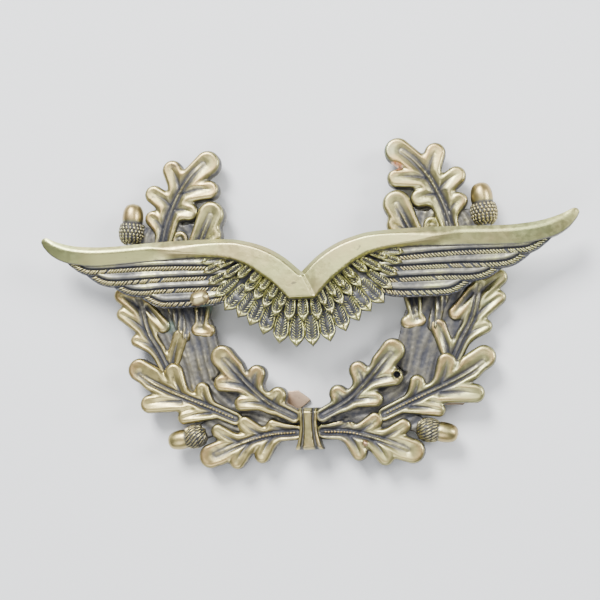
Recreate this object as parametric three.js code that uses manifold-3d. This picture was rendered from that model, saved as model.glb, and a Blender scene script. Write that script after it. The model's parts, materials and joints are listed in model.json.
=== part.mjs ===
// Pilot's cap badge: spread wings standing over a U-shaped wreath of oak leaves and acorns.
//
// Millimetres. The badge lies face up: +X runs along the wing span, +Y towards the open top of the
// wreath and +Z out of the front. z = 0 is the plane that the folded fixing legs lie on.
import * as THREE from 'three';
import { mergeVertices } from 'three/addons/utils/BufferGeometryUtils.js';
import Module from 'manifold-3d';

const wasm = await Module();
wasm.setup();

// ---- Driving dimensions ---------------------------------------------------------------------
const WREATH_BACK = 1.85;      // back plane of the whole wreath
const GROUND_TOP = 2.95;       // rough ground between the leaves
const LEAF_SHOULDER = 0.5;     // height of the slope round each lobe's top
const LEAF_SLOPE = 0.32;       // how far that slope leans in
const JOINT_GAP = 0.05;        // solder line between two fixed pieces
const RIBBON_GAP = 0.3;        // the branches stop this far from the ribbon

const WING_BACK = 4.9;
const FEATHER_TOPS = [5.75, 6.15, 6.5];   // lower, middle and upper row of short feathers
const PRIMARY_TOPS = [6.1, 5.95, 5.8, 5.65];  // long feathers, from the bar downwards
const BAR_SHOULDER = 6.5;      // where the bar's slopes start
const BAR_TOP = 7.0;
const BAR_SLOPE = 0.55;        // how far the bar's slopes lean in

const RIVET_PLACE = [18.7, 3.6];
const RIVET_SHANK = 0.8;       // radius
const RIVET_HEAD = 1.6;        // radius
const RIVET_HEAD_LOW = 0.95;
const RIVET_HEAD_HIGH = 1.75;
const HOLE_CLEARANCE = 0.3;

const PRONG_Y = -12.9;         // both fixing prongs sit on this line
const LEFT_PRONG_X = -9.3;
const RIGHT_PRONG_X = 11.5;
const LEG_LENGTH = 8.0;        // from its bend to its point
const LEG_WIDTH = 2.4;
const LEG_THICKNESS = 0.6;
const LEG_POINT = 1.5;         // length of the tapered end
const LEG_NOSE = 0.2;          // length of the blunt nose on it
const LEG_NOSE_HALF = 0.25;    // half its width
const BEND_RADIUS = 0.5;
const BEND_OFFSET = 1.1;       // from the prong's middle to each leg's bend
const FOOT_LENGTH = 6.6;
const FOOT_WIDTH = 3.4;
const FOOT_LOW = 1.3;
const FOOT_HIGH = WREATH_BACK - JOINT_GAP;
const STUB_THICKNESS = 0.5;    // the doubled strip that comes down between the two bends
const STUB_LOW = 0.15;
const STUB_OVERLAP = 0.2;      // how far the stub runs up into the foot's plate

const CENTRE_SHIFT = 0.77;     // moves the whole badge up so that the origin is its middle
const ARC_STEPS = 3;           // steps in each rounded end of a lobe
const ROUND_SIDES = 20;        // sides of the rivets
const BEND_SIDES = 16;
const BALL_SIDES = 12;         // sides and rings of an acorn
const BALL_RINGS = 7;

// ---- The right-hand branch ------------------------------------------------------------------
// A lobe is [root x, root y, tip x, tip y, root radius, tip radius].
const LEAVES = [
  { top: 3.6, lobes: [                                  // top leaf
    [18.6, 7.6, 17.4, 12.0, 1.2, 1.5], [17.4, 12.0, 15.6, 15.6, 1.5, 1.5],
    [14.9, 16.2, 12.4, 18.2, 1.4, 1.7], [16.2, 14.3, 12.15, 14.65, 1.3, 1.25],
    [17.0, 12.3, 14.9, 11.9, 1.3, 1.2], [16.1, 14.8, 17.1, 17.6, 1.4, 1.35],
    [17.2, 12.6, 19.6, 14.5, 1.4, 1.25], [18.3, 9.6, 19.8, 11.3, 1.2, 1.1],
  ] },
  { top: 3.9, lobes: [                                  // short leaf inside it
    [14.0, 6.8, 12.0, 11.3, 1.4, 1.8], [13.6, 7.2, 11.7, 8.6, 1.1, 1.1],
  ] },
  { top: 3.3, lobes: [[16.0, 6.6, 16.3, 8.4, 1.2, 1.2]] },
  { top: 3.4, lobes: [                                  // shoulder leaf, half hidden by the wing
    [18.3, -8.2, 20.8, -3.6, 1.0, 1.0], [20.8, -3.6, 21.8, 0.6, 1.0, 1.0],
    [21.6, -0.6, 24.2, 1.4, 1.2, 1.1], [20.8, -3.6, 24.1, -1.1, 1.0, 0.9],
    [19.6, -5.8, 22.3, -4.6, 0.9, 0.85], [20.9, -0.4, 18.7, -2.8, 1.0, 1.0],
    [17.6, -7.8, 16.5, -4.4, 1.0, 1.1],
  ] },
  { top: 3.2, lobes: [[13.5, -0.4, 13.75, -3.3, 1.15, 0.6], [14.2, -3.6, 12.7, -3.8, 0.7, 0.8]] },
  { top: 3.8, lobes: [                                  // big outer leaf
    [9.4, -15.0, 13.6, -13.1, 0.9, 1.0], [13.6, -13.1, 17.6, -11.4, 1.0, 1.1],
    [17.6, -11.4, 20.2, -9.9, 1.1, 1.3], [20.1, -9.5, 21.9, -8.4, 1.5, 1.5],
    [16.3, -11.8, 17.3, -8.9, 1.0, 1.25], [13.0, -13.2, 13.6, -11.2, 0.9, 1.0],
    [16.4, -12.6, 20.6, -12.8, 1.3, 1.2], [12.6, -14.2, 16.1, -14.7, 0.9, 0.85],
  ] },
  { top: 3.7, lobes: [                                  // bottom leaf
    [1.75, -16.9, 4.7, -17.1, 1.0, 1.0], [4.7, -17.1, 8.6, -18.1, 1.0, 1.1],
    [8.6, -18.1, 11.6, -19.2, 1.1, 1.3], [11.4, -19.2, 12.7, -19.6, 1.5, 1.55],
    [9.0, -18.0, 11.7, -16.5, 0.9, 0.95], [6.0, -17.2, 8.2, -15.7, 1.0, 1.05],
    [2.5, -16.8, 4.7, -16.0, 0.8, 0.85], [7.6, -18.0, 9.3, -20.3, 1.0, 1.05],
    [4.8, -17.4, 6.1, -19.7, 1.0, 1.0],
  ] },
  { top: 4.5, lobes: [                                  // inner leaf, lying over the others
    [1.75, -14.9, 5.0, -13.2, 0.9, 1.0], [5.0, -13.2, 7.6, -10.8, 1.0, 1.0],
    [7.6, -10.8, 9.6, -8.8, 1.0, 1.3], [9.5, -8.6, 10.8, -7.2, 1.4, 1.55],
    [7.0, -11.3, 6.4, -9.5, 1.1, 1.2], [4.6, -13.5, 3.8, -12.3, 1.0, 1.15],
    [7.9, -10.9, 10.9, -10.5, 1.0, 1.1], [5.6, -13.2, 8.4, -13.1, 0.9, 1.0],
  ] },
];
// The ground that ties the leaves together, and the woody stem that rises behind the wing.
const GROUND = [
  [18.4, 8.4, 18.6, 3.0, 1.6, 2.6], [18.6, 3.0, 17.6, -1.5, 2.6, 3.0],
  [17.6, -1.5, 15.6, -7.2, 2.9, 1.9], [15.6, -7.2, 14.6, -11.0, 1.9, 2.2],
  [14.6, -11.0, 10.6, -14.6, 2.2, 1.9], [10.6, -14.6, 5.0, -15.8, 1.9, 1.8],
  [5.0, -15.8, 2.0, -15.8, 1.8, 1.9], [13.9, -16.6, 12.2, -15.8, 1.0, 1.2],
  [13.9, -3.2, 12.9, -8.0, 1.7, 2.0], [12.6, -12.0, 8.8, -12.4, 1.6, 1.6],
  [21.6, 9.0, 18.4, 8.6, 1.3, 1.6], [18.2, 9.0, 16.9, 12.6, 1.6, 1.2], [17.6, 8.6, 14.2, 9.2, 1.6, 1.3],
];
const STEM = [[18.6, 6.0, 17.2, -0.5, 1.0, 1.0], [17.2, -0.5, 15.9, -4.2, 1.0, 0.9]];
const STEM_TOP = 3.35;

// Acorns: [cup x, cup y, nut x, nut y, cup radius, nut radius]
const ACORNS = [[22.8, 9.7, 22.6, 12.0, 1.6, 1.45], [14.8, -17.1, 17.0, -17.5, 1.4, 1.3]];
const ACORN_MIDDLE = 2.75;

// ---- The ribbon and the wings ----------------------------------------------------------------
const RIBBON_HALF = [[1.2, -13.9], [1.05, -16.0], [1.3, -17.8], [1.75, -19.1]];
const RIBBON_TOP = 4.75;
const RIBBON_GROOVE = 0.35;    // depth of the grooves beside the middle rib
const RIBBON_RIM = 0.45;       // width of each side rim
const RIBBON_RIB_HALF = 0.35;  // half the width of the middle rib
const RIBBON_OVERRUN = 4;      // the space cut for it runs past its ends

// Right half of the bar: along its upper edge to the wing tip, and back along its lower edge.
const BAR_FOOT = [0, -0.55];   // middle of its flat bottom
const BAR_UPPER = [
  [0, 2.9], [2.1, 4.8], [4.4, 6.2], [7.0, 7.1], [9.7, 7.5], [16.6, 7.6], [24.1, 7.35],
  [27.4, 7.45], [29.7, 7.75], [31.8, 8.3], [33.3, 8.85], [33.9, 8.75],
];
const BAR_LOWER = [
  [34.0, 8.4], [32.4, 6.6], [30.6, 5.75], [27.4, 5.25], [24.2, 5.35], [18.8, 5.55],
  [13.4, 5.5], [9.7, 5.0], [7.2, 4.1], [5.0, 2.6], [3.4, 1.3], [1.7, -0.55],
];
// Long feathers, from the bar downwards: each one's corners, upper inner corner first.
const PRIMARIES = [
  [[9.5, 5.3], [31.0, 6.0], [29.4, 4.9], [27.4, 3.75], [18.8, 3.75], [10.5, 3.4]],
  [[9.5, 3.9], [28.2, 4.0], [26.4, 2.9], [24.0, 2.15], [18.2, 2.25], [10.5, 2.2]],
  [[9.5, 2.5], [24.8, 2.4], [23.1, 1.4], [20.8, 0.75], [17.3, 0.85], [10.0, 0.8]],
  [[9.5, 1.0], [21.4, 1.1], [19.4, -0.2], [17.1, -0.85], [12.0, -0.75], [9.8, -0.3]],
];
// The thin web behind the short feathers
const WEB = [[0, 1.5], [0, -4.6], [2.6, -4.4], [5.0, -3.2], [7.4, -1.5], [10.0, -0.4], [12.5, -0.4],
  [12.5, 5.2], [8.0, 4.6]];
const WEB_TOP = 5.35;
// Rows of short feathers, lower row first: each tip is [x, y, lean in degrees].
const FEATHER_ROWS = [
  { length: 4.2, width: 2.0, tips: [
    [1.05, -6.4, 3], [3.2, -5.9, 10], [5.2, -4.7, 18], [6.9, -3.5, 27], [8.4, -2.4, 36], [10.1, -1.4, 44],
  ] },
  { length: 3.8, width: 1.45, tips: [
    [1.9, -3.25, 9], [3.65, -2.6, 18], [5.0, -1.5, 28], [6.2, -0.4, 36], [7.4, 0.7, 42], [11.2, 0.3, 52],
  ] },
  { length: 3.2, width: 1.1, tips: [
    [2.9, -1.6, 20], [4.2, -0.5, 30], [5.4, 0.6, 38], [6.7, 1.7, 44], [8.3, 2.4, 50], [10.1, 2.6, 58],
    [12.0, 1.9, 62], [12.6, 3.4, 70], [12.9, 4.7, 80], [10.9, 4.1, 68],
  ] },
];
const CENTRE_FEATHER = [0, -3.35, 0];   // one more feather of the middle row
// A feather's outline, root first: share of its length back from the tip, share of its half width.
const FEATHER_PROFILE = [[1, -0.6], [0.45, -1], [0.2, -0.75], [0, 0], [0.2, 0.75], [0.45, 1], [1, 0.6]];

// ---- Solids ---------------------------------------------------------------------------------
function solidOf(geometry) {
  const bare = geometry.clone();
  bare.deleteAttribute('normal');
  bare.deleteAttribute('uv');
  const welded = mergeVertices(bare, 1e-4);
  return new wasm.Manifold(new wasm.Mesh({
    numProp: 3,
    vertProperties: new Float32Array(welded.attributes.position.array),
    triVerts: new Uint32Array(welded.index.array),
  }));
}

function geometryOf(solid) {
  const { vertProperties, triVerts } = solid.getMesh();
  const geometry = new THREE.BufferGeometry();
  geometry.setAttribute('position', new THREE.BufferAttribute(new Float32Array(vertProperties), 3));
  geometry.setIndex(new THREE.BufferAttribute(new Uint32Array(triVerts), 1));
  geometry.computeVertexNormals();
  return geometry;
}

const joined = (solids) => solids.reduce((whole, piece) => whole.add(piece));

// Closed body through rings of equal point counts, lowest first, each a list of [x, y, z].
function stacked(rings) {
  const count = rings[0].length;
  const middles = [rings[0], rings.at(-1)].map((ring) => [0, 1, 2].map(
    (axis) => ring.reduce((sum, point) => sum + point[axis], 0) / count));
  const positions = [...rings.flat(2), ...middles.flat()];
  const [bottom, top] = [rings.length * count, rings.length * count + 1];
  const faces = [];
  for (let i = 0; i < count; i++) {
    const next = (i + 1) % count;
    for (let level = 0; level + 1 < rings.length; level++) {
      const [low, high] = [level * count, (level + 1) * count];
      faces.push(low + i, low + next, high + next, low + i, high + next, high + i);
    }
    faces.push(bottom, next, i);
    faces.push(top, bottom - count + i, bottom - count + next);
  }
  const geometry = new THREE.BufferGeometry();
  geometry.setAttribute('position', new THREE.Float32BufferAttribute(positions, 3));
  geometry.setIndex(faces);
  return geometry;
}

// Outline of two unequal circles wrapped together, counter-clockwise, drawn in by inset.
function fingerRing([rootX, rootY, tipX, tipY, rootRadius, tipRadius], side, inset, z) {
  const heading = Math.atan2(tipY - rootY, tipX - rootX);
  const reach = Math.hypot(tipX - rootX, tipY - rootY);
  const lean = Math.asin(THREE.MathUtils.clamp((rootRadius - tipRadius) / reach, -1, 1));
  const ring = [];
  const arc = (x, y, radius, from, to) => {
    for (let step = 0; step <= ARC_STEPS; step++) {
      const angle = from + (to - from) * step / ARC_STEPS;
      ring.push([side * (x + radius * Math.cos(angle)), y + radius * Math.sin(angle), z]);
    }
  };
  const quarter = Math.PI / 2;
  arc(tipX, tipY, tipRadius - inset, heading - quarter + lean, heading + quarter - lean);
  arc(rootX, rootY, rootRadius - inset, heading + quarter - lean, heading + 3 * quarter + lean);
  return side < 0 ? ring.reverse() : ring;
}

function finger(lobe, side, low, top) {
  return solidOf(stacked([
    fingerRing(lobe, side, 0, low),
    fingerRing(lobe, side, 0, top - LEAF_SHOULDER),
    fingerRing(lobe, side, LEAF_SLOPE, top),
  ]));
}

function flatFinger(lobe, side, low, top) {
  return solidOf(stacked([fingerRing(lobe, side, 0, low), fingerRing(lobe, side, 0, top)]));
}

function slab(points, low, top) {
  const shape = new THREE.Shape(points.map(([x, y]) => new THREE.Vector2(x, y)));
  const geometry = new THREE.ExtrudeGeometry(shape, { depth: top - low, bevelEnabled: false });
  return solidOf(geometry.translate(0, 0, low));
}

function disc(radius, low, top, x, y) {
  const geometry = new THREE.CylinderGeometry(radius, radius, top - low, ROUND_SIDES);
  return solidOf(geometry.rotateX(Math.PI / 2).translate(x, y, (low + top) / 2));
}

function acorn([cupX, cupY, nutX, nutY, cupRadius, nutRadius], side) {
  const ball = (x, y, radius) => {
    const geometry = new THREE.SphereGeometry(radius, BALL_SIDES, BALL_RINGS);
    return solidOf(geometry.translate(side * x, y, ACORN_MIDDLE));
  };
  const [span, depth] = [6 * cupRadius, 2 * cupRadius];
  const below = new THREE.BoxGeometry(span, span, depth).translate(side * cupX, cupY, WREATH_BACK - depth / 2);
  return ball(cupX, cupY, cupRadius).add(ball(nutX, nutY, nutRadius)).subtract(solidOf(below));
}

function branch(side) {
  const pieces = GROUND.map((lobe) => flatFinger(lobe, side, WREATH_BACK, GROUND_TOP));
  pieces.push(...STEM.map((lobe) => finger(lobe, side, WREATH_BACK, STEM_TOP)));
  for (const leaf of LEAVES) {
    pieces.push(...leaf.lobes.map((lobe) => finger(lobe, side, WREATH_BACK, leaf.top)));
  }
  pieces.push(...ACORNS.map((fruit) => acorn(fruit, side)));
  const [rivetX, rivetY] = RIVET_PLACE;
  const hole = disc(RIVET_SHANK + HOLE_CLEARANCE, 0, BAR_TOP, side * rivetX, rivetY);
  const ribbonSpace = slab(ribbonOutline(RIBBON_GAP), 0, BAR_TOP);
  return geometryOf(joined(pieces).subtract(hole).subtract(ribbonSpace));
}

function ribbonOutline(margin) {
  const right = RIBBON_HALF.map(([x, y]) => [x + margin, y]);
  if (margin > 0) {
    right[0][1] += RIBBON_OVERRUN;
    right.at(-1)[1] -= RIBBON_OVERRUN;
  }
  const left = right.map(([x, y]) => [-x, y]).reverse();
  return [...right, ...left].reverse();
}

function ribbonBand() {
  const core = slab(ribbonOutline(0), WREATH_BACK, RIBBON_TOP - RIBBON_GROOVE);
  const rims = [-1, 1].map((side) => {
    const outer = RIBBON_HALF.map(([x, y]) => [side * x, y]);
    const inner = RIBBON_HALF.map(([x, y]) => [side * (x - RIBBON_RIM), y]).reverse();
    const outline = [...outer, ...inner];
    return slab(side > 0 ? outline.reverse() : outline, WREATH_BACK, RIBBON_TOP);
  });
  const [high, low] = [RIBBON_HALF[0][1], RIBBON_HALF.at(-1)[1]];
  const rib = slab([[-RIBBON_RIB_HALF, low], [RIBBON_RIB_HALF, low], [RIBBON_RIB_HALF, high],
    [-RIBBON_RIB_HALF, high]], WREATH_BACK, RIBBON_TOP);
  return geometryOf(joined([core, ...rims, rib]));
}

// Points of one pointed short feather, from its root round its tip.
function featherOutline([tipX, tipY, lean], length, width) {
  const angle = THREE.MathUtils.degToRad(lean);
  const [alongX, alongY] = [Math.sin(angle), -Math.cos(angle)];
  return FEATHER_PROFILE.map(([backShare, acrossShare]) => {
    const [back, across] = [backShare * length, acrossShare * width / 2];
    return [tipX - alongX * back - alongY * across, tipY - alongY * back + alongX * across];
  });
}

function wings() {
  const pieces = [];
  for (const side of [-1, 1]) {
    const placed = (points) => {
      const moved = points.map(([x, y]) => [side * x, y]);
      return THREE.ShapeUtils.area(moved.map(([x, y]) => ({ x, y }))) < 0 ? moved.reverse() : moved;
    };
    pieces.push(slab(placed(WEB), WING_BACK, WEB_TOP));
    PRIMARIES.forEach((outline, row) => {
      pieces.push(slab(placed(outline), WING_BACK, PRIMARY_TOPS[row]));
    });
    FEATHER_ROWS.forEach(({ length, width, tips }, row) => {
      for (const tip of tips) {
        pieces.push(slab(placed(featherOutline(tip, length, width)), WING_BACK, FEATHER_TOPS[row]));
      }
    });
    pieces.push(slab(placed([...BAR_UPPER, ...BAR_LOWER, BAR_FOOT]), WING_BACK, BAR_SHOULDER));
    const flatUpper = BAR_UPPER.slice(0, -2).map(([x, y]) => [x, y - BAR_SLOPE]);
    const flatLower = [...BAR_LOWER.slice(2), BAR_FOOT].map(([x, y]) => [x, y + BAR_SLOPE / 2]);
    pieces.push(slab(placed([...flatUpper, ...flatLower]), WING_BACK, BAR_TOP));
  }
  const { length, width } = FEATHER_ROWS[1];
  pieces.push(slab(featherOutline(CENTRE_FEATHER, length, width).reverse(), WING_BACK, FEATHER_TOPS[1]));
  return geometryOf(joined(pieces));
}

function rivet(side) {
  const [x, y] = RIVET_PLACE;
  const head = disc(RIVET_HEAD, RIVET_HEAD_LOW, RIVET_HEAD_HIGH, side * x, y);
  const shank = disc(RIVET_SHANK, RIVET_HEAD_LOW, WING_BACK - JOINT_GAP, side * x, y);
  return geometryOf(head.add(shank));
}

function prongFoot(middleX) {
  const reach = FOOT_LENGTH / 2 - FOOT_WIDTH / 2;
  const outline = [middleX - reach, PRONG_Y, middleX + reach, PRONG_Y, FOOT_WIDTH / 2, FOOT_WIDTH / 2];
  const plate = flatFinger(outline, 1, FOOT_LOW, FOOT_HIGH);
  const stubHigh = FOOT_LOW + STUB_OVERLAP;
  const stub = new THREE.BoxGeometry(STUB_THICKNESS, LEG_WIDTH, stubHigh - STUB_LOW);
  stub.translate(middleX, PRONG_Y, (stubHigh + STUB_LOW) / 2);
  return geometryOf(plate.add(solidOf(stub)));
}

// A leg drawn along +X from its bend at the origin, then turned to point along its own side.
function leg(direction) {
  const half = LEG_WIDTH / 2;
  const [taper, nose] = [LEG_LENGTH - LEG_POINT, LEG_LENGTH - LEG_NOSE];
  const outline = [[0, -half], [taper, -half], [nose, -LEG_NOSE_HALF], [LEG_LENGTH, 0],
    [nose, LEG_NOSE_HALF], [taper, half], [0, half]];
  const strip = slab(outline, -BEND_RADIUS, LEG_THICKNESS - BEND_RADIUS);
  const bend = solidOf(new THREE.CylinderGeometry(BEND_RADIUS, BEND_RADIUS, LEG_WIDTH, BEND_SIDES));
  const geometry = geometryOf(strip.add(bend));
  return direction < 0 ? geometry.rotateZ(Math.PI) : geometry;
}

// ---- Assembly -------------------------------------------------------------------------------
const brass = (color) => new THREE.MeshStandardMaterial({ color, roughness: 0.45, metalness: 0.9 });
const agedBrass = () => brass(0x9c8f62);
const plainBrass = () => brass(0xa88b62);

const badge = new THREE.Group();

function addPiece(name, geometry, material, x = 0, y = 0, z = 0) {
  const mesh = new THREE.Mesh(geometry, material);
  mesh.name = name;
  mesh.position.set(x, y + CENTRE_SHIFT, z);
  badge.add(mesh);
}

addPiece('left_branch', branch(-1), agedBrass());
addPiece('right_branch', branch(1), agedBrass());
addPiece('ribbon_band', ribbonBand(), agedBrass());
addPiece('wings', wings(), agedBrass());
addPiece('left_rivet', rivet(-1), plainBrass());
addPiece('right_rivet', rivet(1), plainBrass());
for (const [name, middleX, inward] of [['left', LEFT_PRONG_X, 1], ['right', RIGHT_PRONG_X, -1]]) {
  addPiece(`${name}_prong_foot`, prongFoot(middleX), plainBrass());
  for (const [place, direction] of [['inner', inward], ['outer', -inward]]) {
    const bendX = middleX + direction * BEND_OFFSET;
    addPiece(`${name}_${place}_leg`, leg(direction), plainBrass(), bendX, PRONG_Y, BEND_RADIUS);
  }
}

export default badge;
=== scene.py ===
"""Pilot's cap badge: brass wings standing over an open wreath of oak leaves and acorns.

The badge lies face up on a pale board. +X runs along the wing span, +Y towards the open top of
the wreath. Sizes in the tables are millimetres; MM turns them into metres.
"""
import json
import math

import bmesh
import bpy
import numpy as np
from mathutils import Matrix, Vector


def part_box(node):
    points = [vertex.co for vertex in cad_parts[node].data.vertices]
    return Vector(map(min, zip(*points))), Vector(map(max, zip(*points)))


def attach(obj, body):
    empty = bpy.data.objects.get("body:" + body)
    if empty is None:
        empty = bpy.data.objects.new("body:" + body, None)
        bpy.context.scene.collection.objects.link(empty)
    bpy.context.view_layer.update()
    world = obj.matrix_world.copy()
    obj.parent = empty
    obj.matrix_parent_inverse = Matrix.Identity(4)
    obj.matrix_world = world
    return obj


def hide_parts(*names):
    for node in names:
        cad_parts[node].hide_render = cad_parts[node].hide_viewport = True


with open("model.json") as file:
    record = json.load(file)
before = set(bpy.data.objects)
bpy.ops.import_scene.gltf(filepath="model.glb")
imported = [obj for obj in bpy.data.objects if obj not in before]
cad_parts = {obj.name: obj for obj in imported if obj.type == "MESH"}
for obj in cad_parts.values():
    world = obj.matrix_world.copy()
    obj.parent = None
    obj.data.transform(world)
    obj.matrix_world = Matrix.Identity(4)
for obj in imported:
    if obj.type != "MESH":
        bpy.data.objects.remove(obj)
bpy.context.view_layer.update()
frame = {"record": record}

MM = 0.001
CENTRE_SHIFT = 0.77                          # the tables' origin lies this far below the badge's middle
FINE = 0.10      # spacing of the points in a modelled surface
COARSE = 0.2                                 # the same, for the plain webs under the feathers

WREATH_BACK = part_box("left_branch")[0][2] / MM
WING_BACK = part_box("wings")[0][2] / MM
WING_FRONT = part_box("wings")[1][2] / MM
RIBBON_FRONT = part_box("ribbon_band")[1][2] / MM

# ---- Tables -----------------------------------------------------------------------------------
# A lobe is (root x, root y, tip x, tip y, root radius, tip radius), for the right-hand branch.
# A leaf has its top height, its midrib, its lobes, and whether its midrib is beaded.
LEAVES = {
    "top_leaf": dict(top=3.6, beads=False, midrib=[
        (18.7, 7.4), (18.2, 9.8), (17.4, 12.0), (16.1, 14.6), (14.4, 16.8), (12.9, 18.1)], lobes=[
        (18.6, 7.6, 17.4, 12.0, 1.2, 1.5), (17.4, 12.0, 15.6, 15.6, 1.5, 1.5),
        (14.9, 16.2, 12.4, 18.2, 1.4, 1.7), (16.2, 14.3, 12.15, 14.65, 1.3, 1.25),
        (17.0, 12.3, 14.9, 11.9, 1.3, 1.2), (16.1, 14.8, 17.1, 17.6, 1.4, 1.35),
        (17.2, 12.6, 19.6, 14.5, 1.4, 1.25), (18.3, 9.6, 19.8, 11.3, 1.2, 1.1)]),
    "inside_leaf": dict(top=3.9, beads=False, midrib=[(14.0, 6.6), (13.2, 8.6), (12.0, 11.2)], lobes=[
        (14.0, 6.8, 12.0, 11.3, 1.4, 1.8), (13.6, 7.2, 11.7, 8.6, 1.1, 1.1)]),
    "bud": dict(top=3.3, beads=False, midrib=[(16.0, 6.4), (16.3, 8.4)], lobes=[
        (16.0, 6.6, 16.3, 8.4, 1.2, 1.2)]),
    "shoulder_leaf": dict(top=3.4, beads=False, midrib=[
        (18.2, -8.4), (19.2, -6.3), (20.7, -3.7), (21.4, -1.2), (21.9, 0.8)], lobes=[
        (18.3, -8.2, 20.8, -3.6, 1.0, 1.0), (20.8, -3.6, 21.8, 0.6, 1.0, 1.0),
        (21.6, -0.6, 24.2, 1.4, 1.2, 1.1), (20.8, -3.6, 24.1, -1.1, 1.0, 0.9),
        (19.6, -5.8, 22.3, -4.6, 0.9, 0.85), (20.9, -0.4, 18.7, -2.8, 1.0, 1.0),
        (17.6, -7.8, 16.5, -4.4, 1.0, 1.1)]),
    "hanging_tip": dict(top=3.2, beads=False, plain=True, midrib=[(13.6, -0.6), (13.8, -3.0)], lobes=[
        (13.5, -0.4, 13.75, -3.3, 1.2, 0.85), (14.3, -3.5, 12.75, -3.7, 0.85, 0.95)]),
    "outer_leaf": dict(top=3.8, beads=True, midrib=[
        (9.4, -15.0), (13.6, -13.1), (17.6, -11.4), (20.2, -10.1), (21.7, -9.1)], lobes=[
        (9.4, -15.0, 13.6, -13.1, 0.9, 1.0), (13.6, -13.1, 17.6, -11.4, 1.0, 1.1),
        (17.6, -11.4, 20.2, -9.9, 1.1, 1.3), (20.1, -9.5, 21.9, -8.4, 1.5, 1.5),
        (16.3, -11.8, 17.3, -8.9, 1.0, 1.25), (13.0, -13.2, 13.6, -11.2, 0.9, 1.0),
        (16.4, -12.6, 20.6, -12.8, 1.3, 1.2), (12.6, -14.2, 16.1, -14.7, 0.9, 0.85)]),
    "bottom_leaf": dict(top=3.7, beads=True, midrib=[
        (1.6, -16.95), (4.7, -17.1), (7.4, -17.7), (9.8, -18.5), (12.0, -19.4)], lobes=[
        (1.75, -16.9, 4.7, -17.1, 1.0, 1.0), (4.7, -17.1, 8.6, -18.1, 1.0, 1.1),
        (8.6, -18.1, 11.6, -19.2, 1.1, 1.3), (11.4, -19.2, 12.7, -19.6, 1.5, 1.55),
        (9.0, -18.0, 11.7, -16.5, 0.9, 0.95), (6.0, -17.2, 8.2, -15.7, 1.0, 1.05),
        (2.5, -16.8, 4.7, -16.0, 0.8, 0.85), (7.6, -18.0, 9.3, -20.3, 1.0, 1.05),
        (4.8, -17.4, 6.1, -19.7, 1.0, 1.0)]),
    "inner_leaf": dict(top=4.5, beads=False, midrib=[
        (1.75, -14.9), (5.0, -13.2), (7.6, -10.8), (9.3, -8.9), (10.5, -7.6)], lobes=[
        (1.75, -14.9, 5.0, -13.2, 0.9, 1.0), (5.0, -13.2, 7.6, -10.8, 1.0, 1.0),
        (7.6, -10.8, 9.6, -8.8, 1.0, 1.3), (9.5, -8.6, 10.8, -7.2, 1.4, 1.55),
        (7.0, -11.3, 6.4, -9.5, 1.1, 1.2), (4.6, -13.5, 3.8, -12.3, 1.0, 1.15),
        (7.9, -10.9, 10.9, -10.5, 1.0, 1.1), (5.6, -13.2, 8.4, -13.1, 0.9, 1.0)]),
}
GROUND = [
    (18.4, 8.4, 18.6, 3.0, 1.6, 2.6), (18.6, 3.0, 17.6, -1.5, 2.6, 3.0),
    (17.6, -1.5, 15.6, -7.2, 2.9, 1.9), (15.6, -7.2, 14.6, -11.0, 1.9, 2.2),
    (14.6, -11.0, 10.6, -14.6, 2.2, 1.9), (10.6, -14.6, 5.0, -15.8, 1.9, 1.8),
    (5.0, -15.8, 1.0, -15.8, 1.8, 1.9), (13.9, -16.6, 12.2, -15.8, 1.0, 1.2),
    (13.9, -3.2, 12.9, -8.0, 1.7, 2.0), (12.6, -12.0, 8.8, -12.4, 1.6, 1.6),
    (21.6, 9.0, 18.4, 8.6, 1.3, 1.6), (18.2, 9.0, 16.9, 12.6, 1.6, 1.2), (17.6, 8.6, 14.2, 9.2, 1.6, 1.3),
]
GROUND_TOP = 2.95
BACK_STEP = 0.03                             # each leaf's back lies this much above the one before it
STEM = [(18.6, 6.0, 17.2, -0.5, 1.0, 1.0), (17.2, -0.5, 15.9, -4.2, 1.0, 0.9)]
STEM_TOP = 3.35
ACORNS = {"upper": (22.8, 9.7, 22.6, 12.0, 1.6, 1.45), "lower": (14.8, -17.1, 17.0, -17.5, 1.4, 1.3)}
ACORN_MIDDLE = 2.75                          # height of an acorn's axis
CUP_LIP = 0.66                               # angle past the cup's middle at which its lip lies
CUP_SHADE = 0.72
FLOOR_STEP = 0.004

RIBBON_HALF = [(1.2, -13.9), (1.05, -16.0), (1.3, -17.8), (1.75, -19.1)]
RIBBON_GROOVE = 0.34                         # depth of the ribbon's two grooves

BAR_FOOT = 6.2                               # height at which the shoulder bar's bevels start
BAR_RUN = 12                                 # points on the bar's outline from one table point to the next

BAR_UPPER = [
    (0, 2.9), (2.1, 4.8), (4.4, 6.2), (7.0, 7.1), (9.7, 7.5), (16.6, 7.6), (24.1, 7.35),
    (27.4, 7.45), (29.7, 7.75), (31.8, 8.35), (33.2, 8.95), (33.8, 8.85)]
BAR_LOWER = [
    (33.95, 8.4), (33.5, 7.6), (32.4, 6.5), (30.6, 5.6), (27.4, 5.0), (24.2, 5.0), (18.8, 5.2),
    (13.4, 5.3), (9.7, 4.95), (7.2, 4.1), (5.0, 2.6), (3.4, 1.3), (1.7, -0.55)]
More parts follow.
